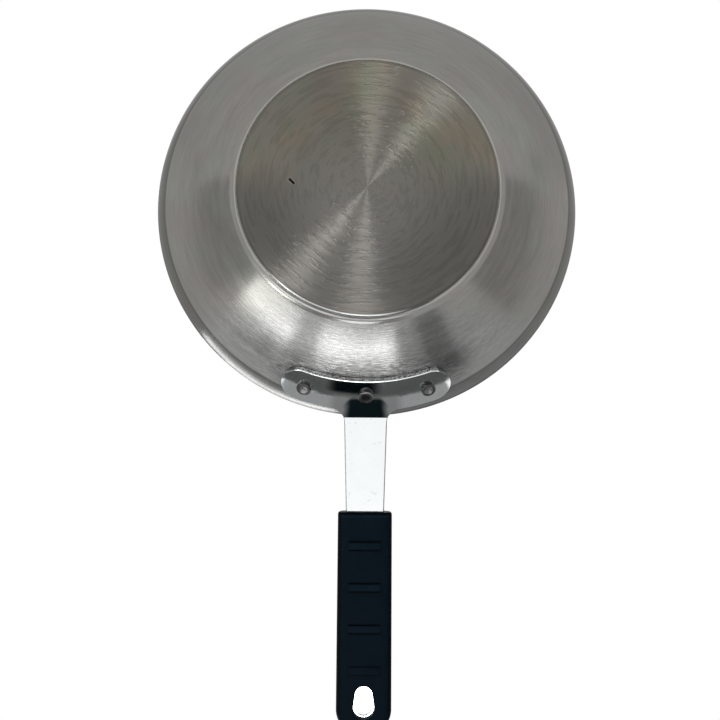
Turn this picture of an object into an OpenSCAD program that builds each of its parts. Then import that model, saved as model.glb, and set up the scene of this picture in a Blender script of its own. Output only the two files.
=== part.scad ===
// Omelette pan, 8 inch: a spun aluminium bowl with a turned base, a plated
// steel strap handle on three rivets, and a rubber grip that pulls off the bar.
// The pan stands upright on its base. +Z is up, the handle runs along -Y, and
// the origin is the centre of the underside of the base. Sizes are millimetres.

/* [Bowl] */
// Diameter over the rim
rim_d = 203.2; // [190:0.2:215]
// Height of the rim above the table
pan_h = 43.8; // [41:0.2:48]
// Diameter of the flat turned face of the base
base_d = 122; // [116:0.5:124]
// Height of the small step at the edge of the turned face
base_step = 0.7; // [0.3:0.1:1.2]
// Thickness of the wall and of the rounded rim
wall_t = 2.8; // [2.2:0.1:3.4]
// Thickness of the floor
floor_t = 3.2; // [2.6:0.1:4]
// Diameter at the crease where the wall turns up into the lip
crease_d = 194.2; // [192:0.2:197]
// Height of that crease
crease_z = 33.6; // [31:0.2:36]
// Half of the angle through which the wall curves between base and crease
wall_bow = 9; // [5:0.5:12]

/* [Handle] */
// Thickness of the plated steel sheet
steel_t = 3; // [2.4:0.1:3.4]
// Length of the riveted strap along the wall
strap_l = 82; // [76:1:88]
// Width of the strap up the wall
strap_w = 18.7; // [17:0.1:20]
// How far the strap reaches past the crease of the bowl
strap_over = 2.2; // [1.5:0.1:3]
// Width of the bar where it leaves the strap
bar_root_w = 20.3; // [19:0.1:22]
// Width of the bar inside the grip
bar_grip_w = 18.1; // [17:0.1:19]
// Rise of the bar above the horizontal, in degrees
bar_rise = 11; // [8:0.5:16]
// Length of the straight bar, from the bend to its end
bar_l = 149.4; // [147:0.2:151]
// Inside radius of the bend on the underside
bend_r = 5; // [4:0.5:6]
// Radius of the fillets between bar and strap
root_fillet = 5; // [3:0.5:6]

/* [Rivets] */
// Diameter of the shank and of the stub outside
rivet_d = 7; // [6.4:0.1:8]
// Distance from the middle rivet to each outer one, along the strap
rivet_pitch = 29.5; // [26:0.5:31]
// How far the stub stands out of the strap
stub_h = 2.6; // [1.5:0.1:3.5]
// Diameter of the low domed head inside the bowl
head_d = 12.5; // [11:0.5:14]
// Height of that head
head_h = 2; // [1.4:0.1:2.6]

/* [Grip] */
// Length of the rubber grip
grip_l = 107.4; // [105:0.2:112]
// Distance from the bend to the mouth of the grip
grip_start = 45; // [43:0.2:47]
// Width at the mouth
grip_mouth_w = 25.6; // [25:0.1:26.4]
// Width at the far end
grip_end_w = 26.4; // [26:0.1:28]
// Thickness over both faces
grip_t = 10.5; // [10:0.1:13]
// Radius of the long edges
grip_edge_r = 4; // [3:0.1:5]
// Clearance between the bar and the pocket
pocket_gap = 0.2; // [0.15:0.05:0.3]
// Number of cross ribs on each face
ribs = 4; // [3:5]
// Distance between ribs
rib_pitch = 19.8; // [19:0.1:20.5]
// Distance from the mouth to the middle of the first rib
rib_first = 15.9; // [15:0.1:17]
// Length of a rib across the grip
rib_l = 15.2; // [13:0.1:16.5]
// Width of a rib along the grip
rib_w = 4.1; // [3:0.1:5]
// Height of a rib
rib_h = 0.6; // [0.4:0.1:0.9]

/* [Hanging hole] */
// Radius of the narrow end, towards the bowl
hole_r_in = 3.6; // [3:0.1:4]
// Radius of the wide end
hole_r_out = 4.5; // [4.1:0.1:5]
// Distance between the centres of the two ends
hole_run = 6.7; // [5:0.1:8]
// Distance from the bend to the centre of the wide end
hole_at = 138.6; // [135:0.1:139]
// How much larger the hole in the rubber is, all round
hole_margin = 0.5; // [0.4:0.1:1]

/* [Hidden] */
$fn = 96;

aluminium = [0.72, 0.72, 0.72];
plated = [0.86, 0.87, 0.88];
rubber = [0.07, 0.09, 0.13];

// Play that keeps touching curved faces from cutting into each other
play = 0.03;
// A length that is larger than any part
far = 400;

// The bowl is an arc between the base and the crease, and its faces are
// written by their slope: 0 is flat like the floor, 90 is upright.
function on_arc(centre, radius, slope) = centre + radius * [sin(slope), -cos(slope)];
function arc(centre, radius, from, to, steps) =
    [for (i = [0:steps]) on_arc(centre, radius, from + (to - from) * i / steps)];
function reversed(list) = [for (i = [len(list) - 1:-1:0]) list[i]];

wall_foot = [base_d / 2 + 4, 1.6];
wall_top = [crease_d / 2, crease_z];
chord = wall_top - wall_foot;
chord_slope = atan2(chord.y, chord.x);
foot_slope = chord_slope - wall_bow;
top_slope = chord_slope + wall_bow;
wall_r = norm(chord) / 2 / sin(wall_bow);
wall_c = wall_top - wall_r * [sin(top_slope), -cos(top_slope)];

// The small curve from the groove round the base into the wall
foot_r = 5;
foot_start_slope = 6;
foot_c = wall_foot - foot_r * [sin(foot_slope), -cos(foot_slope)];

// The lip runs straight from the crease to the rounded rim
rim_c = [rim_d / 2 - wall_t / 2, pan_h - wall_t / 2];
to_rim = rim_c - wall_top;
lip_slope = atan2(to_rim.y, to_rim.x) - asin(wall_t / 2 / norm(to_rim));

// Inside, a wide curve joins the floor to the wall
floor_end_slope = foot_slope + 3;
floor_end = on_arc(wall_c, wall_r - wall_t, floor_end_slope);
floor_r = (floor_end.y - floor_t) / (1 - cos(floor_end_slope));
floor_c = [floor_end.x - floor_r * sin(floor_end_slope), floor_t + floor_r];

function bowl_outside() = concat(
    [[0, 0], [base_d / 2, 0], [base_d / 2 + 0.6, base_step]],
    arc(foot_c, foot_r, foot_start_slope, foot_slope, 5),
    arc(wall_c, wall_r, foot_slope + 2, top_slope, 8));
function bowl_inside() = concat(
    arc(floor_c, floor_r, 0, floor_end_slope, 6),
    arc(wall_c, wall_r - wall_t, floor_end_slope + 2, top_slope, 8));

// Positions along the wall are measured from the crease, down the slope
function slope_at(down) = top_slope - down / wall_r * 180 / PI;
strap_top = strap_w - strap_over;
strap_mid = strap_top - strap_w / 2;
middle_rivet_drop = 1.2;

// Radius of the strap's outer face at its middle line, for lengths along it
strap_face_r = on_arc(wall_c, wall_r + steel_t, slope_at(strap_mid)).x;
function around(length) = length / strap_face_r * 180 / PI;

// Side view of the handle: the strap, its tail past the crease, the bend
// down to the rise of the bar, and the start of the bar
tail_l = 1;
bend_from = on_arc(wall_c, wall_r + play + steel_t, top_slope)
    + tail_l * [cos(top_slope), sin(top_slope)];
bend_c = bend_from + bend_r * [sin(top_slope), -cos(top_slope)];
bar_from = on_arc(bend_c, -bend_r, bar_rise);
root_run = 4;
bar_run = [cos(bar_rise), sin(bar_rise)];
bar_up = [-sin(bar_rise), cos(bar_rise)];

function handle_side() = concat(
    arc(wall_c, wall_r + play + steel_t, slope_at(strap_top), top_slope, 4),
    arc(bend_c, -bend_r, top_slope, bar_rise, 6),
    [bar_from + root_run * bar_run, bar_from + root_run * bar_run + steel_t * bar_up],
    reversed(arc(bend_c, -(bend_r + steel_t), top_slope, bar_rise, 6)),
    reversed(arc(wall_c, wall_r + play, slope_at(strap_top), top_slope, 4)));

// Revolves a side view through an angle either side of the handle
module revolved(half_angle)
    rotate([0, 0, -90 - half_angle])
        rotate_extrude(angle = 2 * half_angle)
            children();

// Moves its children to a point of the wall, with their +Z out of the wall
module on_wall(turn, down, out)
    rotate([0, 0, turn])
        translate([0, -on_arc(wall_c, wall_r + out, slope_at(down)).x,
                   on_arc(wall_c, wall_r + out, slope_at(down)).y])
            rotate([180 - slope_at(down), 0, 0])
                children();

// Moves its children to the bar: their +Y runs out along it from the bend,
// and their +Z points up out of its middle plane
module on_bar(along)
    translate([0, -bar_from.x, bar_from.y])
        rotate([-bar_rise, 0, 0])
            rotate([0, 0, 180])
                translate([0, along, steel_t / 2 - play])
                    children();

// Plan points of an arc about a centre, by the angle from +X
function turn(centre, radius, from, to, steps) =
    [for (i = [0:steps])
        let (a = from + (to - from) * i / steps)
        centre + radius * [cos(a), sin(a)]];

// Plan of a bar that starts with a width, narrows to another and ends round
function tongue(from, width_from, narrow_at, width, length) = concat(
    [[-width_from / 2, from], [width_from / 2, from], [width / 2, narrow_at]],
    turn([0, length - width / 2], width / 2, 0, 180, 24),
    [[-width / 2, narrow_at]]);

// Plan of a hole with a narrow and a wide round end, joined by tangent sides
function egg(grow) =
    let (r_in = hole_r_in + grow,
         r_out = hole_r_out + grow,
         tilt = asin((r_out - r_in) / hole_run))
    concat(turn([0, 0], r_out, -tilt, 180 + tilt, 20),
           turn([0, -hole_run], r_in, 180 + tilt, 360 - tilt, 16));

module slab(thick)
    linear_extrude(thick, center = true)
        children();

module rivet_bores()
    for (i = [-1:1])
        on_wall(around(i * rivet_pitch), strap_mid + (i == 0 ? middle_rivet_drop : 0), 0)
            cylinder(d = rivet_d + 2 * play, h = 30, center = true);

module pan_body() color(aluminium)
    difference() {
        rotate_extrude()
            polygon(concat(
                bowl_outside(),
                arc(rim_c, wall_t / 2, lip_slope, lip_slope + 180, 8),
                reversed(bowl_inside()),
                [[0, floor_t]]));
        rivet_bores();
    }

// The strap has round ends, so it is cut from the revolved sheet by a wedge
// and a cylinder at each end, all of them stopped at its lower edge
module strap_outline() {
    end_turn = around(strap_l / 2 - strap_w / 2);
    edge = on_arc(wall_c, wall_r, top_slope) + strap_over * [cos(top_slope), sin(top_slope)];
    cut = [sin(top_slope), -cos(top_slope)];
    intersection() {
        union() {
            rotate([0, 0, -90 - end_turn])
                rotate_extrude(angle = 2 * end_turn)
                    translate([60, 0])
                        square([60, 60]);
            for (side = [-1, 1])
                on_wall(side * end_turn, strap_mid, 0)
                    cylinder(d = strap_w, h = 20, center = true);
        }
        revolved(40)
            polygon([edge - 30 * cut, edge + 40 * cut, [1, (edge + 40 * cut).y],
                     [1, (edge - 30 * cut).y]]);
    }
}

// Plan of the bar's root, with a fillet on each side up to the strap's edge
module root_outline() {
    edge_r = on_arc(wall_c, wall_r + steel_t, top_slope).x + strap_over * cos(top_slope);
    fillet_x = bar_root_w / 2 + root_fillet;
    fillet_y = sqrt(pow(edge_r + root_fillet, 2) - pow(fillet_x, 2));
    turn = atan2(fillet_x, fillet_y);
    side = [for (i = [0:8])
        let (a = (90 - turn) * i / 8)
        [fillet_x - root_fillet * cos(a), -fillet_y + root_fillet * sin(a)]];
    linear_extrude(far)
        polygon(concat(
            [[-bar_root_w / 2, -bar_from.x - far], [bar_root_w / 2, -bar_from.x - far]],
            side,
            [[side[8].x - 1, -edge_r + 8], [1 - side[8].x, -edge_r + 8]],
            reversed([for (p = side) [-p.x, p.y]])));
}

module handle() color(plated)
    difference() {
        union() {
            intersection() {
                revolved(around(strap_l / 2) + 3)
                    polygon(handle_side());
                union() {
                    strap_outline();
                    root_outline();
                }
            }
            on_bar(0)
                slab(steel_t)
                    polygon(tongue(root_run / 2, bar_root_w, grip_start, bar_grip_w, bar_l));
        }
        rivet_bores();
        on_bar(hole_at)
            slab(20)
                polygon(egg(0));
    }

// A rivet drawn from inside the bowl out: a low domed head that follows the
// wall, the shank, and a short stub with a bevelled, dished end
module rivet(turn, down) color(aluminium) {
    out = play + steel_t + stub_h;
    bevel = 0.5;
    dish_r = 2.1;
    dish_depth = 0.4;
    dome_r = (pow(head_d / 2, 2) + pow(head_h, 2)) / 2 / head_h;
    difference() {
        on_wall(turn, down, 0)
            difference() {
                union() {
                    translate([0, 0, -wall_t - 0.4])
                        cylinder(d = rivet_d, h = wall_t + 0.4 + out - bevel);
                    translate([0, 0, out - bevel])
                        cylinder(d1 = rivet_d, d2 = rivet_d - 2 * bevel, h = bevel);
                    intersection() {
                        translate([0, 0, -wall_t - head_h + dome_r - 0.2])
                            sphere(r = dome_r);
                        translate([0, 0, -wall_t - head_h - 1])
                            cylinder(d = head_d, h = head_h + 1.5);
                    }
                }
                translate([0, 0, out - dish_depth])
                    cylinder(r1 = dish_r - dish_depth, r2 = dish_r, h = dish_depth + 0.01);
            }
        head_seat();
    }
}

// The inner skin of the wall, which shapes the seats of the rivet heads
module head_seat()
    difference() {
        revolved(30)
            polygon(concat(
                arc(wall_c, wall_r - wall_t - play, slope_at(24), top_slope, 4),
                arc(wall_c, wall_r - wall_t + 2, top_slope, slope_at(24), 4)));
        rivet_bores();
    }

module rivet_left() rivet(around(-rivet_pitch), strap_mid);
module rivet_centre() rivet(0, strap_mid + middle_rivet_drop);
module rivet_right() rivet(around(rivet_pitch), strap_mid);

// Sketch of the grip across the bar: a rounded oblong
module grip_section() {
    width = max(grip_mouth_w, grip_end_w);
    union() {
        square([width - 2 * grip_edge_r, grip_t], center = true);
        square([width, grip_t - 2 * grip_edge_r], center = true);
        for (x = [-1, 1], y = [-1, 1])
            translate([x * (width / 2 - grip_edge_r), y * (grip_t / 2 - grip_edge_r)])
                circle(r = grip_edge_r);
    }
}

// Outline of the grip seen square to its face: small rounds at the mouth,
// a slow taper, and a round end
function grip_plan() =
    let (mouth_r = 1.6,
         end_r = grip_end_w / 2,
         half = concat(
            turn([grip_mouth_w / 2 - mouth_r, mouth_r], mouth_r, -90, 0, 4),
            turn([0, grip_l - end_r], end_r, 0, 90, 14)))
    concat(half, reversed([for (p = half) if (p.x > 0.01) [-p.x, p.y]]));

// Side view of the grip: square at the mouth, rounded over at the far end
function grip_side() =
    let (end_r = 3.6,
         half = turn([grip_l - end_r, grip_t / 2 - end_r], end_r, 90, 0, 6))
    concat([[0, grip_t / 2]], half, reversed([for (p = half) [p.x, -p.y]]),
           [[0, -grip_t / 2]]);

module rib()
    union() {
        round_r = 1;
        for (x = [-1, 1], y = [-1, 1])
            translate([x * (rib_l / 2 - round_r), y * (rib_w / 2 - round_r), 0])
                cylinder(r = round_r, h = rib_h + 1);
        translate([-rib_l / 2, -rib_w / 2 + round_r, 0])
            cube([rib_l, rib_w - 2 * round_r, rib_h + 1]);
        translate([-rib_l / 2 + round_r, -rib_w / 2, 0])
            cube([rib_l - 2 * round_r, rib_w, rib_h + 1]);
    }

module grip_sleeve() color(rubber)
    on_bar(grip_start)
        difference() {
            union() {
                intersection() {
                    rotate([-90, 0, 0])
                        linear_extrude(grip_l)
                            grip_section();
                    translate([0, 0, -grip_t])
                        linear_extrude(2 * grip_t)
                            polygon(grip_plan());
                    rotate([90, 0, 90])
                        linear_extrude(2 * grip_end_w, center = true)
                            polygon(grip_side());
                }
                for (i = [0:ribs - 1], face = [0, 1])
                    mirror([0, 0, face])
                        translate([0, rib_first + i * rib_pitch, grip_t / 2 - 1])
                            rib();
            }
            pocket_w = bar_grip_w + 2 * pocket_gap;
            slab(steel_t + 2 * pocket_gap)
                polygon(tongue(-1, pocket_w, 0, pocket_w, bar_l - grip_start + pocket_gap));
            translate([0, hole_at - grip_start, 0])
                slab(2 * grip_t)
                    polygon(egg(hole_margin));
        }

pan_body();
handle();
rivet_left();
rivet_centre();
rivet_right();
grip_sleeve();
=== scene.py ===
"""An 8 inch omelette pan: turned and brushed aluminium, a plated steel strap handle
on three rivets, and a rubber grip. Shapes are drawn in millimetres, and materials,
lamps and the camera are in metres."""

import math
from functools import reduce

import bmesh
import bpy
from mathutils import Matrix, Vector
from mathutils.geometry import delaunay_2d_cdt

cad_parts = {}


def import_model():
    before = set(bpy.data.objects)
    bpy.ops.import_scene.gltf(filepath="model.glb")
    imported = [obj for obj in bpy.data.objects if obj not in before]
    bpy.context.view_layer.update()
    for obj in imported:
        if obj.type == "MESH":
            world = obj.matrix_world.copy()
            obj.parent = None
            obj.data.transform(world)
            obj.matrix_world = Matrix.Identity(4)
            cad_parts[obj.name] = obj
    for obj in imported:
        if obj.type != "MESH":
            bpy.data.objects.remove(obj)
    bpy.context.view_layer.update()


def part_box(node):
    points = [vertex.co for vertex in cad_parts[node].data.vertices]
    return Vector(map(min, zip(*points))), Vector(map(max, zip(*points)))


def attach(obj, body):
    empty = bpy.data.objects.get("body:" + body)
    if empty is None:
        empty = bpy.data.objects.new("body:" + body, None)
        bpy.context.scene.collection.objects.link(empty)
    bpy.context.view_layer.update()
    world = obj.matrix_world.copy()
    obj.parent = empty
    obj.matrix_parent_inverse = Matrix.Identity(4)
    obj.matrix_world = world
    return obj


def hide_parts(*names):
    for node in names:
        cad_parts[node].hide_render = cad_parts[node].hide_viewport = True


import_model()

MM = 0.001
TINY = 1e-6

# Bowl, in millimetres
pan_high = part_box("pan_body")[1]
RIM_R = pan_high.x / MM
PAN_H = pan_high.z / MM
BASE_R = 61.0
BASE_STEP = 0.7
BASE_STEP_RUN = 0.6
WALL_T = 2.8
FLOOR_T = 3.2
FOOT_R = 5.0
FOOT_START_SLOPE = 6.0
WALL_FOOT = (65.0, 1.6)
WALL_TOP = (97.1, 33.6)
WALL_BOW = 9.0
BASE_EDGE_R = 0.25
STEP_EDGE_R = 0.2
INNER_CREASE_R = 6.0
LIP_END_SLOPE = 71.0
FLOOR_END_RISE = 3.0

# Handle, in millimetres
STEEL_T = 3.0
STRAP_L = 82.0
STRAP_W = 18.7
STRAP_OVER = 2.2
BAR_ROOT_W = 20.3
BAR_GRIP_W = 18.1
BAR_RISE = 11.0
BAR_L = 149.4
BEND_R = 5.0
ROOT_FILLET = 5.0
TAIL_L = 1.0
ARCH_RISE = 6.8
ARCH_HALF_W = 11.0
ARCH_CLEAR = 1.6
ARCH_CLEAR_RUN = 4.0
ARCH_POWERS = (2.2, 0.9)
PLAY = 0.03
TOP_EDGE_R = 0.35
SIDE_EDGE_R = 0.12
BAR_EDGE_R = 0.5
EDGE_EASE = 6.0
TORN_RUN = 1.5
NET_GAP = 0.45

# Rivets, in millimetres
RIVET_D = 7.0
RIVET_PITCH = 29.5
STUB_H = 1.9
HEAD_D = 12.5
HEAD_H = 2.0
HEAD_EDGE_R = 0.3
STUB_EDGE_R = 0.55
DISH_R = 3.4
DISH_RIM = 2.2
DISH_EDGE_R = 0.4
DISH_CENTRE = 2.7
MIDDLE_DROP = 1.2

# Grip, in millimetres
GRIP_L = 107.4
GRIP_START = 45.0
GRIP_MOUTH_W = 25.6
GRIP_END_W = 26.4
GRIP_T = 10.5
GRIP_EDGE_R = 4.0
MOUTH_EDGE_R = 1.3
THROAT_R = 0.7
POCKET_GAP = 0.2
RIBS = 4
RIB_PITCH = 19.8
RIB_FIRST = 15.9
RIB_L = 15.2
RIB_W = 4.1
RIB_H = 0.6
RIB_CORNER_R = 1.0
RIB_ROUNDING = ((0.45, 0), (0.2, -0.08), (0.06, -0.22), (0, -0.45))

# Hanging hole, in millimetres
HOLE_R_IN = 3.6
HOLE_R_OUT = 4.5
HOLE_RUN = 6.7
HOLE_AT = 138.6
HOLE_MARGIN = 0.5


# Plane geometry
def sin(degrees):
    return math.sin(math.radians(degrees))


def cos(degrees):
    return math.cos(math.radians(degrees))


def on_arc(centre, radius, slope):
    """The point of an arc where its underside has this slope."""
    return (centre[0] + radius * sin(slope), centre[1] - radius * cos(slope))


def ahead(at, run, slope):
    """The point a run ahead of another, along a slope."""
    return (at[0] + run * cos(slope), at[1] + run * sin(slope))


def slope_of(run, rise):
    return math.degrees(math.atan2(rise, run))


def spread(start, end, steps):
    return [start + (end - start) * i / steps for i in range(steps + 1)]


def smooth(t):
    t = min(max(t, 0.0), 1.0)
    return t * t * (3 - 2 * t)


CHORD = (WALL_TOP[0] - WALL_FOOT[0], WALL_TOP[1] - WALL_FOOT[1])
CHORD_SLOPE = slope_of(*CHORD)
FOOT_SLOPE = CHORD_SLOPE - WALL_BOW
TOP_SLOPE = CHORD_SLOPE + WALL_BOW
WALL_R = math.hypot(*CHORD) / 2 / sin(WALL_BOW)
WALL_C = on_arc(WALL_TOP, -WALL_R, TOP_SLOPE)
RIM_C = (RIM_R - WALL_T / 2, PAN_H - WALL_T / 2)


def slope_at(down):
    """Slope of the wall at a distance down from the crease."""
    return TOP_SLOPE - math.degrees(down / WALL_R)


# Mesh helpers
def put(name, data):
    """A new object in the scene."""
    thing = bpy.data.objects.new(name, data)
    bpy.context.scene.collection.objects.link(thing)
    return thing


def new_piece(name, points, faces, materials, normals=None, zones=None):
    """A smooth-shaded object from points in metres."""
    mesh = bpy.data.meshes.new(name)
    mesh.from_pydata([tuple(p) for p in points], [], faces)
    for material in materials:
        mesh.materials.append(material)
    if zones:
        mesh.polygons.foreach_set("material_index", zones)
    mesh.shade_smooth()
    if normals:
        mesh.normals_split_custom_set_from_vertices([tuple(n) for n in normals])
    mesh.update()
    return put(name, mesh)


class Profile:
    """Half section of a turned part, drawn with the material on its left. Each
    point has the heading of the line there, in degrees, and the zone that follows."""

    def __init__(self, *start):
        self.points = [(x, y, 0, 0) for x, y in start]
        self.zone = 0

    def line_to(self, at, steps=1):
        x, y, _, _ = self.points[-1]
        heading = slope_of(at[0] - x, at[1] - y)
        for t in spread(0, 1, steps)[1:]:
            self.points.append((x + (at[0] - x) * t, y + (at[1] - y) * t, heading, self.zone))

    def arc(self, centre, radius, start, end, steps):
        for slope in spread(start, end, steps):
            self.points.append((*on_arc(centre, radius, slope), slope, self.zone))

    def corner(self, at, start, end, radius, steps=4):
        """Rounds the corner at a point, where the heading turns from start to end."""
        half = (end - start) / 2
        reach = radius * abs(math.tan(math.radians(half)))
        begin = ahead(at, -reach, start)
        side = radius if end > start else -radius
        centre = (begin[0] - side * sin(start), begin[1] + side * cos(start))
        self.arc(centre, side, start, end, steps)


def lathe(name, profile, steps, materials, place=None):
    """Turns a profile about +Z. place moves the result, in millimetres."""
    points, normals, faces, zones, rings = [], [], [], [], []
    for x, y, heading, _ in profile.points:
        out, up = sin(heading), -cos(heading)
        rings.append(len(points))
        if abs(x) < TINY:
            points.append(Vector((0, 0, y)))
            normals.append(Vector((0, 0, math.copysign(1, up))))
            continue
        for i in range(steps):
            a = 2 * math.pi * i / steps
            points.append(Vector((x * math.cos(a), x * math.sin(a), y)))
            normals.append(Vector((out * math.cos(a), out * math.sin(a), up)))
    for k in range(1, len(rings)):
        before, after = profile.points[k - 1], profile.points[k]
        if math.hypot(after[0] - before[0], after[1] - before[1]) < TINY:
            continue
        a, b = rings[k - 1], rings[k]
        for i in range(steps):
            j = (i + 1) % steps
            if abs(before[0]) < TINY:
                faces.append((a, b + j, b + i))
            elif abs(after[0]) < TINY:
                faces.append((a + i, a + j, b))
            else:
                faces.append((a + i, a + j, b + j, b + i))
            zones.append(after[3])
    if place:
        turn = place.to_3x3()
        points = [place @ p for p in points]
        normals = [turn @ n for n in normals]
    points = [p * MM for p in points]
    return new_piece(name, points, faces, materials, normals, zones)


def join_doubles(piece, reach=1e-7):
    """Welds points that lie together, and drops loose ones."""
    work = bmesh.new()
    work.from_mesh(piece.data)
    bmesh.ops.remove_doubles(work, verts=work.verts, dist=reach)
    loose = [v for v in work.verts if not v.link_faces]
    bmesh.ops.delete(work, geom=loose, context="VERTS")
    bmesh.ops.recalc_face_normals(work, faces=work.faces)
    work.to_mesh(piece.data)
    work.free()


# Nodes
class Nodes:
    """The node tree of a world or material, and short calls that add nodes to it."""

    def __init__(self, owner, kind):
        owner.use_nodes = True
        self.tree = owner.node_tree
        self.tree.nodes.clear()
        self.out = self.node("Output" + kind)

    def node(self, kind, settings=(), **inputs):
        node = self.tree.nodes.new("ShaderNode" + kind)
        for key, value in dict(settings).items():
            setattr(node, key, value)
        for key, value in inputs.items():
            self.feed(node.inputs[key.replace("_", " ")], value)
        return node

    def feed(self, socket, value):
        if isinstance(value, bpy.types.NodeSocket):
            self.tree.links.new(value, socket)
        else:
            socket.default_value = value

    def maths(self, operation, a, b=0.0):
        node = self.node("Math", {"operation": operation})
        self.feed(node.inputs[0], a)
        self.feed(node.inputs[1], b)
        return node.outputs[0]

    def product(self, *values):
        return reduce(lambda a, b: self.maths("MULTIPLY", a, b), values)

    def total(self, *values):
        return reduce(lambda a, b: self.maths("ADD", a, b), values)

    def apart(self, value, middle):
        return self.maths("ABSOLUTE", self.maths("SUBTRACT", value, middle))

    def vector(self, operation, a, b=(0, 0, 0), scale=None):
        node = self.node("VectorMath", {"operation": operation})
        self.feed(node.inputs[0], a)
        self.feed(node.inputs[1], b)
        if scale is not None:
            self.feed(node.inputs["Scale"], scale)
        return node.outputs["Value" if operation in ("LENGTH", "DOT_PRODUCT", "DISTANCE")
                            else "Vector"]

    def noise(self, vector, scale, detail=2.0, roughness=0.5):
        return self.node("TexNoise", Vector=vector, Scale=scale, Detail=detail,
                         Roughness=roughness).outputs["Fac"]

    def remap(self, value, low, high, to_low, to_high, smooth_step=False):
        kind = "SMOOTHSTEP" if smooth_step else "LINEAR"
        node = self.node("MapRange", {"interpolation_type": kind}, Value=value)
        for key, number in (("From Min", low), ("From Max", high),
                            ("To Min", to_low), ("To Max", to_high)):
            node.inputs[key].default_value = number
        return node.outputs["Result"]

    def rise(self, value, low, high):
        """0 at low and softly up to 1 at high."""
        return self.remap(value, low, high, 0, 1, True)

    def fall(self, value, low, high):
        """1 at low and softly down to 0 at high."""
        return self.remap(value, low, high, 1, 0, True)

    def vary(self, noise, low, high):
        """From low to high over the usual range of a noise."""
        return self.remap(noise, 0.3, 0.7, low, high)

    def darken(self, tone, mask, depth):
        """tone made darker by a share depth where mask is 1, or lighter if depth < 0."""
        return self.product(tone, self.maths("SUBTRACT", 1.0, self.product(mask, depth)))

    def mix(self, factor, a, b, blend="MIX"):
        node = self.node("Mix", {"data_type": "RGBA", "blend_type": blend})
        self.feed(node.inputs[0], factor)
        self.feed(node.inputs[6], a)
        self.feed(node.inputs[7], b)
        return node.outputs[2]

    def bump(self, height, distance, strength=1.0):
        node = self.node("Bump", Height=height, Distance=distance, Strength=strength)
        return node.outputs["Normal"]

    def show(self, shader):
        self.tree.links.new(shader.outputs[0], self.out.inputs["Surface"])


class Shader(Nodes):
    """A material. place is the point on the surface, in metres."""

    def __init__(self, name):
        self.material = bpy.data.materials.new(name)
        super().__init__(self.material, "Material")
        self.place = self.node("TexCoord").outputs["Object"]

    def axis(self, index):
        return self.node("SeparateXYZ", Vector=self.place).outputs[index]

    def blend(self, share, first, second):
        """Shows the node first where share is 0, and second where it is 1."""
        both = self.node("MixShader", Fac=share)
        self.tree.links.new(first.outputs[0], both.inputs[1])
        self.tree.links.new(second.outputs[0], both.inputs[2])
        self.show(both)
        return self.material

    def finish(self, **inputs):
        self.show(self.node("BsdfPrincipled", **inputs))
        return self.material


# Looks. The low lamps light the foot of the bowl about LIT_AT degrees: in full to
# LIT_FULL degrees either side, and not at all beyond LIT_END.
LIT_AT = -75
LIT_FULL = 22
LIT_END = 36

# Patches of painted shade, darker spots on the base and the wall: centre, size and softness in
# metres, and depth
BASE_SHADE_PATCHES = (
    ((-0.038, -0.032, 0), 0.030, 0.026, 0.2),
    ((0.047, -0.019, 0), 0.016, 0.015, 0.15),
    ((0.0, 0.048, 0), 0.036, 0.030, 0.16))
WALL_SHADE_PATCHES = (
    ((-0.0427, -0.074, 0.024), 0.007, 0.006, 0.28),
    ((0.0455, -0.073, 0.022), 0.006, 0.006, 0.3),
    ((0.052, -0.067, 0.018), 0.009, 0.006, 0.16),
    ((0.001, -0.081, 0.0165), 0.010, 0.009, 0.14),
    ((0.002, -0.0655, 0.0018), 0.009, 0.007, 0.26),
    ((0.079, 0.014, 0.017), 0.006, 0.006, 0.12),
    ((-0.079, 0.015, 0.017), 0.006, 0.006, 0.14))

# Painted highlight and painted shade lines round the step on its lit side: radius, half width
# and softness in millimetres, and depth, which is below 0 for a painted highlight
BRIM_HIGHLIGHT = (BASE_R - 0.1, 0.4, 0.15, -3.9)
STEP_SHADE_AND_HIGHLIGHT_LINES = (
    (61.75, 0.45, 0.25, 0.6),
    (62.75, 0.35, 0.2, -1.2),
    (63.95, 0.75, 0.3, 0.45))

# The nick in the base, with painted shade and highlight, and a painted glint on a ding in the
# foot, in metres
NICK_AT = (0.03525, 0.00235)
DING_GLINT_AT = (-0.0419, -0.0531, 0.0050)


def grey(value, tint=(1.0, 1.0, 1.0)):
    return (value * tint[0], value * tint[1], value * tint[2], 1.0)


def ring_space(shader):
    """Unit direction out from the axis, and distance from it."""
    flat = shader.vector("MULTIPLY", shader.place, (1, 1, 0))
    return shader.vector("NORMALIZE", flat), shader.vector("LENGTH", flat)


def ring_noise(shader, space, arcs, per_metre, detail=2.0):
    """Noise drawn out round the axis: arcs sets how short its streaks are, and
    per_metre how fine they lie across."""
    direction, radius = space
    around = shader.vector("SCALE", direction, scale=arcs)
    across = shader.node("CombineXYZ", Z=shader.product(radius, per_metre))
    return shader.noise(shader.vector("ADD", around, across.outputs[0]), 1.0, detail)


def radial_tangent(shader):
    return shader.node("Tangent", {"direction_type": "RADIAL", "axis": "Z"}).outputs[0]


def lit_side(shader, direction):
    """1 on the side of the axis that the low lamps light, fading to 0."""
    share = shader.vector("DOT_PRODUCT", direction, (cos(LIT_AT), sin(LIT_AT), 0))
    return shader.rise(share, cos(LIT_END), cos(LIT_FULL))


def ring(shader, radius, at, half, soft):
    """1 on a ring at a radius in millimetres, fading to 0 either side."""
    off = shader.apart(radius, at * MM)
    return shader.fall(off, (half - soft) * MM, (half + soft) * MM)


def spot(shader, at, size, soft):
    """1 inside a round patch about a point in metres, fading to 0 outside."""
    away = shader.vector("DISTANCE", shader.place, at)
    return shader.fall(away, size - soft, size + soft)


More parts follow.
